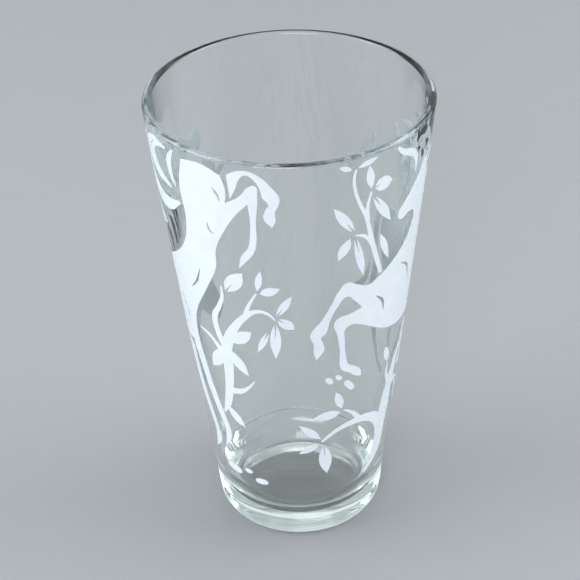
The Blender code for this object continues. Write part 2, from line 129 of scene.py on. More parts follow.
class Nodes:  # shorthand for wiring up a node material
    def __init__(self, name):
        self.material = bpy.data.materials.new(name)
        self.material.use_nodes = True
        self.tree = self.material.node_tree
        self.shader = self.tree.nodes["Principled BSDF"]
        self.output = self.tree.nodes["Material Output"]
        self.coords = self.add("ShaderNodeTexCoord").outputs["Object"]

    def add(self, kind):
        return self.tree.nodes.new(kind)

    def link(self, source, target):
        self.tree.links.new(source, target)

    def height(self):
        split = self.add("ShaderNodeSeparateXYZ")
        self.link(self.coords, split.inputs[0])
        return split.outputs["Z"]

    def stretch(self, upright):  # below 1 it draws a pattern out up the glass
        mapping = self.add("ShaderNodeMapping")
        mapping.inputs["Scale"].default_value = (1.0, 1.0, upright)
        self.link(self.coords, mapping.inputs["Vector"])
        return mapping.outputs["Vector"]

    def noise(self, scale, detail, vector=None):
        node = self.add("ShaderNodeTexNoise")
        node.inputs["Scale"].default_value = scale
        node.inputs["Detail"].default_value = detail
        self.link(vector or self.coords, node.inputs["Vector"])
        return node.outputs["Fac"]

    def mapRange(self, source, low, high, toLow, toHigh):
        node = self.add("ShaderNodeMapRange")
        values = {"From Min": low, "From Max": high, "To Min": toLow, "To Max": toHigh}
        for key, value in values.items():
            node.inputs[key].default_value = value
        self.link(source, node.inputs["Value"])
        return node.outputs["Result"]

    def ramp(self, source, stops):
        node = self.add("ShaderNodeValToRGB")
        ramp = node.color_ramp
        ramp.elements[0].position, ramp.elements[0].color = stops[0][0], (*stops[0][1], 1)
        ramp.elements[1].position, ramp.elements[1].color = stops[-1][0], (*stops[-1][1], 1)
        for place, colour in stops[1:-1]:
            ramp.elements.new(place).color = (*colour, 1)
        self.link(source, node.inputs["Fac"])
        return node.outputs["Color"]

    def added(self, a, b):
        node = self.add("ShaderNodeMath")
        node.operation = "ADD"
        self.link(a, node.inputs[0])
        self.link(b, node.inputs[1])
        return node.outputs["Value"]

    def bump(self, height, strength, distance):
        node = self.add("ShaderNodeBump")
        node.inputs["Strength"].default_value = strength
        node.inputs["Distance"].default_value = distance
        self.link(height, node.inputs["Height"])
        return node.outputs["Normal"]


# The glass: one turned solid with a heavy foot, a shallow crease over it and a rounded rim.
tumblerSettings = {       # millimetres
    "rimWall": 2.4,
    "lowWall": 3.6,       # the wall thickens to this at the foot, before the heel adds more
    "footHeight": 14.3,
    "footTopRadius": 28.75,
    "wallFootRadius": 29.0,
    "crease": 0.35,       # shallow line where the foot ends and the wall begins
    "creaseHalfWidth": 0.6,
    "footBottomRadius": 27.9,
    "footCorner": 2.1,
    "ringRadius": 21.5,   # inner edge of the ring it stands on
    "puntDepth": 0.5,     # hollow under the base
    "puntSlope": 4.5,     # width of the slope from the ring up to the hollow
    "floorHeight": 4.7,
    "floorRadius": 15.2,  # flat part of the floor inside
    "floorFillet": 6.2,
    "filletEnd": -29,     # degrees; the heel's curve takes over there
    "heel": 8.1,          # how slowly the thick heel thins out up the wall
    "ripples": [(3, 0.050, 0.020, 0.8), (7, 0.030, -0.035, 2.0), (13, 0.012, 0.06, 4.1)],
    "rippleFade": [16, 40, 12, 2],  # between the first two heights, and the last two below the rim
    "rippleDepth": 0.9,   # shallower than this share of the rim's wall, nothing moves
}
tumblerSteps = {          # how finely each stretch is drawn
    "turn": 288,
    "floor": 5,
    "fillet": 12,
    "wall": 40,
    "wallCrowding": 1.6,  # above 1 it crowds the wall's rings towards the heel
    "rim": 16,
    "crease": 12,
    "footCorner": 8,
    "puntSlope": 6,
    "punt": 4,
}
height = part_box("glass")[1].z / mm
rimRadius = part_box("glass")[1].x / mm


def wallShare(z):  # 0 at the crease and 1 where the rounded rim begins
    s = tumblerSettings
    return (z - s["footHeight"]) / (height - s["rimWall"] / 2 - s["footHeight"])


def wallRadius(z):  # the outer wall is a straight cone
    foot = tumblerSettings["wallFootRadius"]
    return foot + (rimRadius - foot) * wallShare(z)


def thickness(z):  # of the wall, without the heel
    s = tumblerSettings
    return s["rimWall"] + (s["lowWall"] - s["rimWall"]) * (1 - wallShare(z))


def innerWall():
    s, steps = tumblerSettings, tumblerSteps
    floor, fillet = s["floorHeight"], s["floorFillet"]
    low = arc((s["floorRadius"], floor + fillet), fillet, -90, s["filletEnd"], steps["fillet"])
    startRadius, startHeight = low[-1]
    heel = wallRadius(startHeight) - thickness(startHeight) - startRadius
    top = height - s["rimWall"] / 2
    run = []
    for i in range(1, steps["wall"]):
        z = startHeight + (top - startHeight) * (i / steps["wall"]) ** steps["wallCrowding"]
        swell = heel * math.exp(-(z - startHeight) / s["heel"])
        run.append((wallRadius(z) - thickness(z) - swell, z))
    across = [(s["floorRadius"] * i / steps["floor"], floor) for i in range(steps["floor"])]
    return across + low + run


def footShoulder():  # from the wall down over the crease to the side of the foot
    s, steps = tumblerSettings, tumblerSteps["crease"]
    middle, half = s["footHeight"], s["creaseHalfWidth"]
    points = []
    for i in range(steps + 1):
        z = middle + half * (1 - 2 * i / steps)
        share = smoothStep(middle - half, middle + half, z)
        edge = s["footTopRadius"] + (wallRadius(z) - s["footTopRadius"]) * share
        dip = s["crease"] * (0.5 + 0.5 * math.cos(math.pi * (z - middle) / half))
        points.append((edge - dip, z))
    return points


def underside():
    s, steps = tumblerSettings, tumblerSteps
    outer, inner = s["ringRadius"], s["ringRadius"] - s["puntSlope"]
    slope = []
    for i in range(steps["puntSlope"] + 1):
        share = i / steps["puntSlope"]
        slope.append((outer - s["puntSlope"] * share, s["puntDepth"] * share))
    flat = [(inner * (1 - i / steps["punt"]), s["puntDepth"]) for i in range(1, steps["punt"] + 1)]
    return slope + flat


def tumblerProfile():
    s, steps = tumblerSettings, tumblerSteps
    half = s["rimWall"] / 2
    corner = (s["footBottomRadius"] - s["footCorner"], s["footCorner"])
    return (innerWall() + arc((rimRadius - half, height - half), half, 180, 0, steps["rim"])
            + footShoulder() + arc(corner, s["footCorner"], 0, -90, steps["footCorner"]) + underside())


def rippleInside(shape):  # pressed glass is never quite even inside
    s = tumblerSettings
    fadeIn, full, fadeOut, still = s["rippleFade"]
    for corner in shape.verts:
        z = corner.co.z / mm
        radius = corner.co.xy.length / mm
        outside = radius > wallRadius(z) - s["rimWall"] * s["rippleDepth"]
        if outside or z < s["floorHeight"] + s["floorFillet"]:
            continue
        angle = math.atan2(corner.co.y, corner.co.x)
        fade = smoothStep(fadeIn, full, z) * (1 - smoothStep(height - fadeOut, height - still, z))
        wave = sum(size * math.sin(turns * angle + climb * z + start)
                   for turns, size, climb, start in s["ripples"])
        corner.co.xy *= 1 + wave * fade / radius


clearGlassSettings = {
    "tint": (0.985, 0.995, 0.99, 1),
    "bending": 1.51,                   # index of refraction
    "smears": (38.0, 3.0, 0.45),       # size, detail and upright stretch of the wiped patches
    "smearRange": (0.52, 0.75),
    "smearRoughness": 0.018,
    "scuffHeight": 0.0004,             # metres; the ring it stands on is scuffed up to here
    "scuffRoughness": 0.16,
    "cords": (24.0, 1.0, 0.35),        # the faint waviness of its surface
    "cordBump": (0.35, 0.0006),
    "soak": (0.30, 0.78, 0.62, 1),     # greenish where it's thick
    "soakDensity": 3.2,
}


def clearGlass():
    s = clearGlassSettings
    n = Nodes("clearPressedGlass")
    n.shader.inputs["Base Color"].default_value = s["tint"]
    n.shader.inputs["Transmission Weight"].default_value = 1.0
    n.shader.inputs["IOR"].default_value = s["bending"]
    scale, detail, upright = s["smears"]
    smears = n.noise(scale, detail, n.stretch(upright))
    wiped = n.mapRange(smears, *s["smearRange"], 0.0, s["smearRoughness"])
    worn = n.mapRange(n.height(), 0.0, s["scuffHeight"], s["scuffRoughness"], 0.0)
    n.link(n.added(wiped, worn), n.shader.inputs["Roughness"])
    scale, detail, upright = s["cords"]
    cords = n.noise(scale, detail, n.stretch(upright))
    n.link(n.bump(cords, *s["cordBump"]), n.shader.inputs["Normal"])
    soak = n.add("ShaderNodeVolumeAbsorption")
    soak.inputs["Color"].default_value = s["soak"]
    soak.inputs["Density"].default_value = s["soakDensity"]
    n.link(soak.outputs["Volume"], n.output.inputs["Volume"])
    return n.material


def makeTumbler():
    mesh = turned("tumbler", tumblerProfile(), tumblerSteps["turn"])
    shape = bmesh.new()
    shape.from_mesh(mesh)
    bmesh.ops.remove_doubles(shape, verts=shape.verts, dist=finerSpot)
    rippleInside(shape)
    shape.to_mesh(mesh)
    shape.free()
    mesh.shade_smooth()
    tumbler = linkNew("tumbler", mesh, clearGlass())
    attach(tumbler, "root")
    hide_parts("glass")
    print("tumbler:", len(mesh.polygons), "faces")


makeTumbler()


# The print: islands of white enamel on the outer wall. Each outline is drawn flat, as points (x, z)
# on the unrolled wall in millimetres, with sharp as a third value where it turns a corner.
printSettings = {         # millimetres
    "scaleRadius": 35.0,  # a distance x across the print is an angle of x / 35 round the glass
    "proud": 0.10,        # how far the enamel stands off the wall
    "sunk": 0.02,         # the fired enamel has bitten into the glass this far
    "curveSteps": 8,
    "strip": 1.5,         # the flat print is sliced this fine before it's wrapped
    "sharpFrom": 30,      # degrees; edges that turn further than this stay crisp
}
leafShape = {             # places are shares of its length, and widths of its own width
    "lowPlace": 0.27,
    "highPlace": 0.62,
    "lowWidth": 0.80,
    "highWidth": 0.88,
    "slitPlace": 0.42,    # how far up a slit goes
    "slitHalfWidth": 0.32,  # millimetres
}
partingWidths = {"tip": 0.25, "middle": 0.7}


def leaf(base, tip, width, slit=False):
    s = leafShape
    start, end = Vector(base), Vector(tip)
    along = end - start
    across = Vector((-along.y, along.x)).normalized() * width / 2
    low, high = start + along * s["lowPlace"], start + along * s["highPlace"]
    lowHalf, highHalf = across * s["lowWidth"], across * s["highWidth"]
    right = [tuple(low - lowHalf), tuple(high - highHalf)]
    left = [tuple(high + highHalf), tuple(low + lowHalf)]
    if not slit:
        return [(*start, sharp), *right, (*end, sharp), *left]
    notch = across.normalized() * s["slitHalfWidth"]
    vein = start + along * s["slitPlace"]
    return [
        (*(start - notch), sharp), *right, (*end, sharp), *left,
        (*(start + notch), sharp), (*vein, sharp),
    ]


def pebble(centre, length, width, tilt):
    turn = math.radians(tilt)
    middle = Vector(centre)
    along = Vector((math.cos(turn), math.sin(turn))) * length / 2
    across = Vector((-math.sin(turn), math.cos(turn))) * width / 2
    corners = (middle + along, middle + across, middle - along, middle - across)
    return [tuple(corner) for corner in corners]


def stroke(path, widths):  # tapered, with its own width at each point of the path
    left, right = [], []
    last = len(path) - 1
    for i, (point, width) in enumerate(zip(path, widths)):
        ahead = Vector(path[min(i + 1, last)]) - Vector(path[max(i - 1, 0)])
        across = Vector((-ahead.y, ahead.x)).normalized() * width / 2
        ends = (sharp,) if i in (0, last) else ()
        left.append((*(Vector(point) + across), *ends))
        right.append((*(Vector(point) - across), *ends))
    return right + left[::-1]


def leftHorseOutlines():
    body = [
        (-27.6, 147.0, sharp), (-21.5, 148.0), (-16.5, 146.0, sharp), (-15.6, 141.5),
        (-16.0, 137.0, sharp), (-12.2, 140.3), (-9.5, 144.0), (-8.3, 144.3), (-7.9, 141.3),
        (-8.7, 132.0), (-9.1, 124.2), (-10.0, 121.0), (-12.2, 117.6), (-14.3, 114.7, sharp),
        (-13.3, 119.4), (-11.3, 122.8), (-10.5, 127.0), (-10.1, 133.0), (-10.4, 138.0, sharp),
        (-13.9, 133.2), (-17.4, 126.8), (-20.5, 119.4), (-21.4, 112.5), (-24.6, 105.4),
        (-27.8, 99.4), (-31.4, 93.2), (-34.2, 86.4), (-34.8, 78.0), (-33.0, 68.0), (-30.6, 58.0),
        (-27.4, 48.6), (-26.1, 43.0), (-26.5, 39.6), (-28.2, 37.0), (-30.5, 34.3, sharp),
        (-29.4, 38.4), (-28.8, 42.8), (-30.8, 48.8), (-34.4, 57.2), (-37.0, 65.6),
        (-39.8, 74.6, sharp), (-45.4, 72.8), (-51.4, 72.0), (-57.2, 71.6), (-61.6, 69.4),
        (-66.2, 65.4), (-71.0, 60.4), (-74.0, 58.2, sharp), (-77.0, 61.2), (-75.0, 67.0),
        (-71.2, 74.4), (-68.0, 80.6), (-67.6, 84.4, sharp), (-70.2, 89.8, sharp), (-65.4, 87.0),
        (-63.6, 88.0, sharp), (-64.2, 93.4, sharp), (-60.4, 89.6), (-56.4, 92.6), (-50.8, 98.6),
        (-44.8, 104.4), (-38.0, 109.6), (-32.4, 116.4), (-29.6, 126.0), (-29.8, 137.0),
    ]
    kickingLeg = [
        (-14.9, 146.7, sharp), (-12.6, 148.3), (-9.8, 148.8), (-6.9, 147.2), (-4.6, 144.2),
        (-2.9, 140.8), (-3.2, 138.2), (-4.0, 136.0), (-4.0, 133.2), (-4.9, 130.6, sharp),
        (-6.8, 133.8), (-6.3, 136.4), (-5.5, 138.4), (-6.7, 140.6), (-7.2, 143.2), (-8.5, 146.2),
        (-10.3, 147.5), (-11.8, 146.0), (-12.9, 142.8), (-14.6, 138.8, sharp),
    ]
    plantedLeg = [
        (-40.4, 71.6, sharp), (-39.4, 61.0), (-37.2, 52.2), (-34.9, 45.6), (-33.2, 40.0),
        (-32.8, 35.6), (-34.4, 32.8), (-37.6, 29.6, sharp), (-36.4, 34.4), (-35.7, 38.8),
        (-38.0, 45.2), (-41.0, 52.2), (-43.8, 60.2), (-46.4, 71.0, sharp),
    ]
    mane = [
        ([(-59.8, 92.6), (-63.0, 97.2), (-67.8, 99.2), (-73.0, 97.6)], [0.8, 2.6, 2.2, 0.4]),
        ([(-55.6, 96.6), (-58.8, 101.8), (-64.0, 104.6), (-70.2, 104.0)], [0.8, 2.6, 2.2, 0.4]),
        ([(-50.4, 102.2), (-54.0, 107.2), (-59.4, 110.0), (-65.4, 109.6)], [0.8, 2.4, 2.0, 0.4]),
    ]
    outlines = {
        "left_horse_body": [body],
        "left_horse_kicking_leg": [kickingLeg],
        "left_horse_planted_leg": [plantedLeg],
    }
    outlines.update({f"left_mane_lock_{i}": [stroke(*lock)] for i, lock in enumerate(mane, 1)})
    return outlines


leftTail = [             # each lock's path, and its width at each point
    ([(-30.6, 148.2), (-32.4, 144.6), (-32.8, 140.0), (-31.6, 135.6)], [0.6, 1.8, 1.5, 0.3]),
    ([(-33.4, 147.4), (-39.5, 146.6), (-43.0, 142.0), (-40.4, 137.2), (-33.6, 134.4)],
     [0.5, 3.4, 5.4, 4.2, 0.5]),
    ([(-46.4, 145.4), (-50.8, 140.0), (-50.0, 133.0), (-44.4, 127.8), (-37.4, 127.2), (-31.0, 130.6)],
     [0.6, 4.2, 5.8, 5.4, 4.4, 0.8]),
    ([(-55.6, 138.6), (-59.5, 130.6), (-57.2, 122.4), (-50.6, 117.0), (-42.6, 116.4)],
     [0.6, 4.2, 5.4, 4.6, 0.6]),
]


def leftTailOutlines():
    return {f"left_tail_lock_{i}": [stroke(*lock)] for i, lock in enumerate(leftTail, 1)}


def leftTreeOutlines():
    trunk = stroke(
        [(-27.4, 51.6), (-25.0, 57.0), (-23.2, 65.0), (-22.3, 73.0), (-22.2, 80.0), (-20.3, 86.4),
         (-17.5, 92.0), (-14.2, 96.6), (-10.6, 99.5), (-7.7, 99.2), (-5.5, 96.9)],
        [0.8, 2.8, 3.2, 3.8, 4.0, 3.4, 2.5, 1.9, 1.3, 1.0, 0.5],
    )
    boughs = [
        stroke([(-14.4, 96.0), (-13.0, 100.6), (-11.6, 103.8), (-10.3, 106.4)], [1.7, 1.1, 0.8, 0.5]),
        stroke([(-22.2, 63.6), (-18.8, 64.6), (-16.0, 67.0), (-13.4, 70.6)], [2.6, 1.9, 1.1, 0.3]),
        stroke([(-22.2, 81.0), (-24.4, 87.0), (-24.6, 93.0), (-22.4, 97.6), (-20.8, 102.0),
                (-20.6, 106.0)], [2.6, 2.2, 2.0, 1.5, 1.1, 0.5]),
        stroke([(-22.6, 76.0), (-26.0, 81.4), (-29.0, 83.6), (-32.6, 84.2)], [2.6, 1.7, 1.2, 0.4]),
    ]
    joinedLeaves = [
        leaf((-19.6, 84.6), (-12.7, 91.0), 4.3),
        leaf((-21.6, 81.4), (-15.2, 72.3), 4.2),
        leaf((-23.0, 80.2), (-29.4, 70.2), 4.6),
        leaf((-25.6, 55.2), (-18.9, 48.4), 3.6),
    ]
    return {"left_tree": [trunk] + boughs + joinedLeaves}


def leafOutlines(side, leaves):
    return {f"{side}_leaf_{i}": [leaf(*each)] for i, each in enumerate(leaves, 1)}


def pebbleOutlines(side, pebbles):
    return {f"{side}_pebble_{i}": [pebble(*each)] for i, each in enumerate(pebbles, 1)}


leftLeaves = [           # base, tip, width, and whether it has a slit
    ((-9.95, 107.4), (-8.7, 115.0), 1.9),
    ((-9.3, 106.4), (-3.8, 108.9), 3.0),
    ((-5.0, 98.6), (-0.9, 106.2), 2.4, True),
    ((-4.7, 97.2), (-0.4, 93.6), 3.6, True),
    ((-5.6, 95.2), (-6.1, 81.6), 3.3, True),
    ((-7.8, 91.8), (-11.3, 83.4), 2.1, True),
    ((-19.2, 104.8), (-13.6, 113.2), 4.8, True),
]
leftPebbles = [          # middle, length, width, tilt in degrees
    ((-27.3, 25.6), 7.0, 3.0, -4),
    ((-20.3, 27.6), 3.3, 1.9, 0),
    ((-15.0, 24.5), 5.2, 2.5, 3),
]


def rightHorseOutlines():
    body = [
        (29.5, 126.4, sharp), (29.5, 124.0), (31.2, 122.7), (34.6, 123.2), (37.6, 121.6),
        (38.0, 118.8), (36.4, 115.0), (33.0, 111.4), (29.2, 108.8), (25.0, 106.4), (20.6, 104.8),
        (17.2, 106.6), (13.9, 108.3), (12.0, 106.4), (9.6, 101.0), (6.9, 95.6), (4.2, 91.6),
        (3.9, 89.8), (4.8, 87.2), (4.9, 83.6), (5.7, 80.5, sharp), (8.0, 84.6), (7.7, 86.8),
        (7.1, 89.2), (8.4, 90.8), (9.4, 95.0), (11.6, 100.2), (14.2, 103.1), (16.4, 101.0),
        (19.2, 97.0, sharp),
        (15.4, 96.1), (11.7, 95.4), (10.7, 93.6), (11.7, 89.4), (12.8, 82.0), (13.0, 76.6),
        (13.7, 74.4), (16.4, 72.2), (18.6, 70.0), (21.0, 68.9, sharp), (20.3, 72.0), (18.2, 74.2),
        (15.9, 76.0), (14.9, 79.8), (14.2, 86.0), (14.5, 91.0), (16.0, 91.7), (19.6, 90.2),
        (23.8, 87.2), (27.6, 84.5), (33.2, 81.8), (40.0, 80.2), (46.6, 79.4), (51.8, 76.4),
        (54.2, 71.0), (56.2, 63.6), (58.2, 57.4), (57.8, 51.0), (55.8, 45.6), (54.6, 42.8),
        (51.8, 39.6, sharp), (57.4, 39.8, sharp), (58.2, 44.0), (60.6, 50.4), (62.8, 57.4),
        (62.0, 62.8), (64.4, 69.8), (69.2, 77.8), (71.4, 86.0), (70.6, 93.2), (68.6, 97.0, sharp),
        (64.0, 100.8), (57.6, 102.6), (51.8, 105.8), (48.4, 111.0), (47.4, 118.4), (46.4, 126.0),
        (44.6, 132.4), (44.0, 135.0, sharp), (43.8, 139.8, sharp), (42.0, 136.4),
        (41.2, 136.4, sharp), (40.0, 140.6, sharp), (39.4, 135.6), (36.8, 132.8), (33.0, 129.4),
    ]
    farLeg = stroke(
        [(70.2, 76.6), (69.2, 70.2), (70.4, 63.6), (73.4, 57.0), (72.8, 50.0), (70.6, 44.8),
         (67.2, 41.4)],
        [0.6, 3.6, 4.4, 3.4, 2.3, 2.2, 3.0],
    )
    return {"right_horse_body": [body], "right_horse_far_leg": [farLeg]}


def rightHairOutlines():
    mane = [
        ([(46.4, 133.0), (51.0, 134.2), (55.8, 131.2), (59.6, 126.0)], [0.8, 2.8, 2.4, 0.4]),
        ([(48.0, 126.4), (52.2, 126.8), (56.4, 123.2), (59.6, 117.6)], [0.8, 2.8, 2.2, 0.4]),
        ([(48.8, 119.6), (52.8, 119.0), (56.2, 115.0), (58.4, 109.8)], [0.8, 2.6, 2.0, 0.4]),
    ]
    tail = [
        ([(71.4, 97.0), (73.6, 91.8), (74.0, 84.4), (73.7, 77.0), (74.9, 69.0), (78.0, 61.8),
          (83.6, 57.0)], [0.8, 2.4, 2.6, 2.6, 2.8, 2.4, 0.4]),
        ([(76.6, 76.0), (77.7, 70.4), (80.6, 66.0), (85.4, 62.8)], [0.4, 1.6, 1.7, 0.3]),
    ]
    outlines = {f"right_mane_lock_{i}": [stroke(*lock)] for i, lock in enumerate(mane, 1)}
    outlines.update({f"right_tail_lock_{i}": [stroke(*lock)] for i, lock in enumerate(tail, 1)})
    return outlines


def rightStemOutlines():
    main = stroke(
        [(24.7, 107.4), (22.3, 115.0), (20.6, 121.0), (19.3, 126.4), (18.2, 130.6), (16.4, 135.0),
         (14.9, 140.0), (14.4, 144.4), (14.8, 147.0)],
        [1.1, 1.5, 1.4, 1.2, 1.1, 0.9, 0.8, 0.7, 0.4],
    )
    forks = [
        stroke([(18.9, 128.6), (18.5, 133.6), (19.3, 138.2)], [1.2, 0.9, 0.5]),
        stroke([(21.0, 119.4), (19.1, 122.6), (17.2, 124.2), (15.6, 124.8)], [1.4, 1.1, 0.8, 0.4]),
    ]
    vine = stroke(
        [(26.4, 149.0), (28.6, 146.6), (31.4, 145.0), (33.8, 142.8), (35.0, 139.6), (35.2, 136.6)],
        [0.8, 1.6, 2.2, 1.8, 1.0, 0.5],
    )
    return {"right_stem": [main] + forks, "right_vine": [vine]}


def rightTreeOutlines():
    arch = stroke(
        [(26.8, 21.6), (31.2, 26.2), (34.2, 32.6), (34.0, 39.0), (30.6, 44.6), (25.6, 48.3),
         (19.6, 49.5), (14.2, 48.8), (10.2, 46.6), (7.7, 44.6)],
        [0.8, 4.4, 6.4, 5.8, 4.4, 3.2, 2.4, 1.8, 1.3, 0.8],
    )
    trunk = stroke(
        [(34.4, 33.6), (35.8, 46.0), (37.6, 56.0), (40.4, 64.0), (44.6, 70.4)],
        [4.6, 7.4, 5.4, 3.0, 0.8],
    )
    twigs = [
        stroke([(22.0, 49.2), (19.8, 52.6), (17.6, 55.0), (15.3, 56.6)], [2.4, 1.6, 1.0, 0.5]),
        stroke([(37.4, 52.6), (41.4, 54.0), (44.8, 53.0), (47.4, 50.6)], [2.6, 1.6, 1.1, 0.5]),
        stroke([(36.4, 57.0), (34.0, 61.6), (33.8, 66.4)], [2.4, 1.4, 0.5]),
    ]
    joinedLeaves = [leaf((43.2, 68.0), (47.4, 75.2), 3.4), leaf((41.8, 66.0), (50.4, 67.4), 3.6)]
    return {"right_tree": [arch, trunk] + twigs + joinedLeaves}


rightLeaves = [
    ((15.3, 147.4), (20.4, 149.1), 1.7),
    ((13.7, 147.2), (10.6, 148.9), 1.6),
    ((19.2, 139.2), (18.2, 147.2), 2.2),
    ((20.2, 139.2), (25.5, 139.6), 4.8, True),
    ((20.2, 136.0), (26.5, 125.0), 2.8, True),
    ((15.0, 126.4), (9.6, 135.8), 2.8, True),
    ((14.2, 124.2), (11.2, 117.2), 3.0),
    ((15.7, 123.4), (18.9, 108.9), 2.4, True),
    ((23.2, 122.0), (27.2, 111.2), 2.2),
    ((7.3, 46.2), (0.1, 52.9), 3.0),
    ((6.8, 43.8), (-0.3, 40.1), 2.8, True),
    ((8.5, 42.4), (9.9, 29.3), 4.9, True),
    ((14.5, 57.6), (12.2, 65.4), 2.9),
    ((14.2, 56.1), (4.6, 55.6), 3.7),
    ((33.6, 67.2), (31.2, 74.6), 2.8),
    ((44.0, 59.0), (51.6, 59.6), 3.4, True),
    ((47.2, 49.6), (46.6, 40.8), 3.6, True),
    ((71.6, 121.6), (74.8, 128.2), 1.8),
    ((64.8, 131.6), (71.4, 130.8), 2.4),
]
rightPebbles = [
    ((9.8, 70.9), 3.4, 1.9, -52),
    ((12.9, 71.4), 2.7, 1.6, -50),
    ((16.7, 66.8), 5.4, 2.2, -55),
]


def parting(path, widths):  # a bare line down the middle of a lock
    tip, middle = partingWidths["tip"], partingWidths["middle"]
    return stroke(path[1:-1], [tip] + [middle] * (len(widths) - 4) + [tip])


def bareLines():  # left in the larger shapes, where the glass shows through
    lines = {
        "left_horse_body": [
            stroke([(-19.2, 141.4), (-18.0, 139.4), (-17.4, 137.2)], [0.2, 0.7, 0.3]),
            stroke([(-22.0, 128.6), (-21.6, 125.8), (-20.4, 124.8)], [0.2, 0.7, 0.3]),
            stroke([(-27.6, 109.0), (-29.8, 103.6), (-33.0, 99.4)], [0.2, 0.8, 0.2]),
            stroke([(-45.4, 94.6), (-40.4, 89.0), (-38.6, 81.6)], [0.3, 1.0, 0.3]),
            stroke([(-57.0, 85.4), (-53.0, 80.6), (-47.6, 78.0)], [0.3, 0.9, 0.3]),
            pebble((-69.6, 75.4), 1.5, 0.9, -60),
        ],
        "right_horse_body": [
            stroke([(33.8, 105.4), (38.2, 101.8), (40.4, 95.6)], [0.3, 1.0, 0.3]),
            stroke([(24.0, 99.0), (26.8, 95.6), (27.6, 91.6)], [0.3, 0.9, 0.3]),
            stroke([(57.4, 93.6), (55.6, 86.8), (57.6, 80.2)], [0.3, 1.0, 0.3]),
            pebble((37.2, 129.8), 1.4, 0.8, 40),
        ],
    }
    for i, lock in enumerate(leftTail[1:], 2):
        lines[f"left_tail_lock_{i}"] = [parting(*lock)]
    return lines


def sprigOutlines():  # they close each scene at the back: a thin stem with its leaves
    left = [
        stroke([(-80.4, 115.0), (-80.2, 107.0), (-78.2, 99.0), (-75.4, 91.6)], [0.8, 1.6, 1.4, 0.4]),
        leaf((-77.4, 117.4), (-79.2, 126.8), 5.0),
        leaf((-80.2, 114.4), (-70.8, 127.4), 4.4),
        leaf((-79.9, 106.2), (-74.4, 111.4), 3.0),
        leaf((-79.6, 103.4), (-85.2, 104.8), 2.8),
        leaf((-78.4, 99.4), (-84.6, 98.6), 3.0),
        leaf((-76.4, 94.0), (-79.6, 87.4), 2.8),
    ]
    right = [
        stroke([(87.2, 107.6), (88.0, 104.4), (88.2, 101.4)], [0.9, 1.1, 0.4]),
        leaf((87.2, 106.6), (82.4, 121.4), 5.0),
        leaf((87.6, 106.0), (93.0, 111.4), 2.6),
    ]
    return {"left_sprig": left, "right_sprig": right}


def printOutlines():
    outlines = {}
    outlines.update(leftHorseOutlines())
    outlines.update(leftTailOutlines())
    outlines.update(leftTreeOutlines())
    outlines.update(leafOutlines("left", leftLeaves))
    outlines.update(pebbleOutlines("left", leftPebbles))
    outlines.update(rightHorseOutlines())
    outlines.update(rightHairOutlines())
    outlines.update(rightStemOutlines())
    outlines.update(rightTreeOutlines())
    outlines.update(leafOutlines("right", rightLeaves))
    outlines.update(pebbleOutlines("right", rightPebbles))
    outlines.update(sprigOutlines())
    return outlines


def addOutline(curve, outline):
    spline = curve.splines.new("BEZIER")
    spline.bezier_points.add(len(outline) - 1)
    for knot, point in zip(spline.bezier_points, outline):
        knot.co = (point[0] * mm, point[1] * mm, 0.0)
        kind = "VECTOR" if sharp in point else "AUTO"
        knot.handle_left_type = kind
        knot.handle_right_type = kind
    spline.use_cyclic_u = True


def flatShape(name, outline, bare=()):  # a filled outline as thick as the film; inner outlines are bare
    s = printSettings
    curve = bpy.data.curves.new(name, "CURVE")
    curve.dimensions = "2D"
    curve.fill_mode = "BOTH"
    curve.resolution_u = s["curveSteps"]
    curve.extrude = (s["proud"] + s["sunk"]) / 2 * mm
    for each in (outline, *bare):
        addOutline(curve, each)
    drawn = bpy.data.objects.new(name, curve)
    bpy.context.scene.collection.objects.link(drawn)
    mesh = bakedMesh(drawn)
    bpy.data.objects.remove(drawn, do_unlink=True)
    shape = bmesh.new()
    shape.from_mesh(mesh)
    bmesh.ops.remove_doubles(shape, verts=shape.verts, dist=sameSpot)
    shape.to_mesh(mesh)
    shape.free()
    flat = bpy.data.objects.new(name, mesh)
    bpy.context.scene.collection.objects.link(flat)
    return flat


def joinedMesh(name, outlines, bare):  # overlapping shapes become one island of enamel
    base = flatShape(name, outlines[0], bare)
    others = [flatShape(f"{name}_{i}", outline) for i, outline in enumerate(outlines[1:], 1)]
    for other in others:
        union = base.modifiers.new("join", "BOOLEAN")
        union.operation = "UNION"
        union.solver = "EXACT"
        union.object = other
    mesh = bakedMesh(base)
    for flat in [base] + others:
        bpy.data.objects.remove(flat, do_unlink=True)
    return mesh


def sliceUpright(shape):
    strip = printSettings["strip"]
    xs = [corner.co.x / mm for corner in shape.verts]
    for line in range(math.ceil(min(xs) / strip), math.floor(max(xs) / strip) + 1):
        everything = shape.verts[:] + shape.edges[:] + shape.faces[:]
        place = Vector((line * strip * mm, 0.0, 0.0))
        bmesh.ops.bisect_plane(shape, geom=everything, dist=finerSpot,
                               plane_co=place, plane_no=(1, 0, 0))


def wrap(shape):  # x becomes an angle round the glass, y a height, and the thickness runs outward
    s = printSettings
    middle = (s["proud"] - s["sunk"]) / 2
    for corner in shape.verts:
        x, z, depth = (value / mm for value in corner.co)
        angle = x / s["scaleRadius"]
        radius = wallRadius(z) + middle + depth
        corner.co = Vector((radius * math.sin(angle), -radius * math.cos(angle), z)) * mm


enamelSettings = {
    "cloud": (210.0, 4.0),             # size and detail of its faint unevenness
    "cloudRange": (0.30, 0.70),
    "thinner": (0.82, 0.87, 0.93),
    "thicker": (0.87, 0.92, 0.96),
    "roughness": (0.34, 0.24),
    "grain": (5200.0, 2.0),
    "grainBump": (0.25, 0.00003),
}


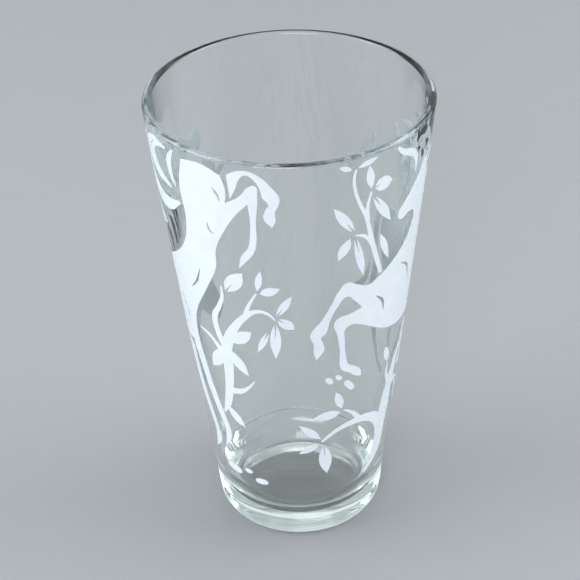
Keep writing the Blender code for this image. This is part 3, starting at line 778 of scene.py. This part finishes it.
def whiteEnamel():
    s = enamelSettings
    n = Nodes("firedWhiteEnamel")
    cloud = n.noise(*s["cloud"])
    low, high = s["cloudRange"]
    tint = n.ramp(cloud, [(low, s["thinner"]), (high, s["thicker"])])
    n.link(tint, n.shader.inputs["Base Color"])
    n.link(n.mapRange(cloud, low, high, *s["roughness"]), n.shader.inputs["Roughness"])
    grain = n.noise(*s["grain"])
    n.link(n.bump(grain, *s["grainBump"]), n.shader.inputs["Normal"])
    return n.material


def makeIsland(name, outlines, bare, enamel):
    mesh = joinedMesh(name, outlines, bare)
    shape = bmesh.new()
    shape.from_mesh(mesh)
    sliceUpright(shape)
    wrap(shape)
    shape.to_mesh(mesh)
    shape.free()
    mesh.shade_smooth()
    mesh.set_sharp_from_angle(angle=math.radians(printSettings["sharpFrom"]))
    island = linkNew("print_" + name, mesh, enamel)
    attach(island, "root")
    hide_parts(name)


def makePrint():
    enamel = whiteEnamel()
    bare = bareLines()
    islands = printOutlines()
    for name, outlines in islands.items():
        makeIsland(name, outlines, bare.get(name, ()), enamel)
    print("print:", len(islands), "islands of enamel")


makePrint()


# The studio: a floor that sweeps up into a round wall, soft lights and a pale room.
studioSettings = {        # metres and watts
    "floorRadius": 1.5,
    "floorDrop": 0.0001,  # the glass rests on it without a shared face
    "floorRings": 6,
    "sweep": 0.5,
    "sweepSteps": 24,
    "turnSteps": 96,
    "wallHeight": 1.7,
    "floorColour": (0.32, 0.325, 0.335),
    "floorDarker": 0.985,
    "floorGrain": (90.0, 4.0),
    "floorRoughness": 0.55,
    "grainRange": (0.3, 0.7),
    "wallGlow": [(0.0, (0, 0, 0)), (0.01, (0.10, 0.104, 0.108)), (0.05, (0.30, 0.31, 0.325)),
                 (0.26, (0.42, 0.43, 0.445)), (0.85, (0.78, 0.80, 0.81))],
    "roomColour": (0.90, 0.95, 0.97, 1),
    "roomLow": 0.38,      # brightness at the horizon and overhead
    "roomHigh": 0.62,
    "lights": [           # name, place, wide, tall, watts, colour
        ("leftBox", (-0.95, -0.05, 0.72), 0.90, 0.85, 8.4, (0.88, 0.97, 1.0)),
        ("rightBox", (0.95, 0.10, 0.72), 0.90, 0.85, 8.0, (0.91, 0.98, 1.0)),
        ("frontBox", (-0.20, -1.0, 0.60), 0.60, 0.45, 4.6, (0.91, 0.92, 1.0)),
        ("topBox", (0.0, 0.30, 1.25), 0.60, 0.50, 2.0, (0.94, 1.0, 0.98)),
    ],
    "bounces": 24,
    "glassBounces": 20,
    "shinyBounces": 12,
}


def paleFloor():  # plain underfoot, and glowing softly where it rises into the wall
    s = studioSettings
    n = Nodes("paleFloor")
    low = tuple(c * s["floorDarker"] for c in s["floorColour"])
    grain = n.noise(*s["floorGrain"])
    first, last = s["grainRange"]
    n.link(n.ramp(grain, [(first, low), (last, s["floorColour"])]), n.shader.inputs["Base Color"])
    n.shader.inputs["Roughness"].default_value = s["floorRoughness"]
    rise = n.mapRange(n.height(), 0.0, s["wallHeight"], 0.0, 1.0)
    n.link(n.ramp(rise, s["wallGlow"]), n.shader.inputs["Emission Color"])
    n.shader.inputs["Emission Strength"].default_value = 1.0
    return n.material


def makeFloor():
    s = studioSettings
    radius, sweep = s["floorRadius"] / mm, s["sweep"] / mm
    profile = [(radius * i / s["floorRings"], 0.0) for i in range(s["floorRings"])]
    profile += arc((radius, sweep), sweep, -90, 0, s["sweepSteps"])
    profile.append((radius + sweep, s["wallHeight"] / mm))
    mesh = turned("floor", profile, s["turnSteps"])
    mesh.shade_smooth()
    floor = linkNew("floor", mesh, paleFloor())
    floor.location.z = -s["floorDrop"]


def makeLight(name, place, wide, tall, watts, colour):  # a soft box that faces the middle of the glass
    lamp = bpy.data.lights.new(name, "AREA")
    lamp.shape = "RECTANGLE"
    lamp.size, lamp.size_y = wide, tall
    lamp.energy = watts
    lamp.color = colour
    light = bpy.data.objects.new(name, lamp)
    light.location = place
    aim = Vector((0, 0, height * mm / 2)) - Vector(place)
    light.rotation_mode = "QUATERNION"
    light.rotation_quaternion = aim.to_track_quat("-Z", "Y")
    light.visible_camera = False
    bpy.context.scene.collection.objects.link(light)


def softRoom():  # brighter overhead than at the horizon
    s = studioSettings
    room = bpy.data.worlds.new("softRoom")
    room.use_nodes = True
    nodes, links = room.node_tree.nodes, room.node_tree.links
    sky = nodes["Background"]
    sky.inputs["Color"].default_value = s["roomColour"]
    split = nodes.new("ShaderNodeSeparateXYZ")
    links.new(nodes.new("ShaderNodeTexCoord").outputs["Generated"], split.inputs[0])
    rise = nodes.new("ShaderNodeMapRange")
    rise.inputs["To Min"].default_value = s["roomLow"]
    rise.inputs["To Max"].default_value = s["roomHigh"]
    links.new(split.outputs["Z"], rise.inputs["Value"])
    links.new(rise.outputs["Result"], sky.inputs["Strength"])
    return room


def makeStudio():
    s = studioSettings
    makeFloor()
    for light in s["lights"]:
        makeLight(*light)
    scene = bpy.context.scene
    scene.world = softRoom()
    scene.view_settings.view_transform = "Standard"
    scene.cycles.max_bounces = s["bounces"]
    scene.cycles.transmission_bounces = s["glassBounces"]
    scene.cycles.glossy_bounces = s["shinyBounces"]
    print("studio:", len(s["lights"]), "lights")


makeStudio()
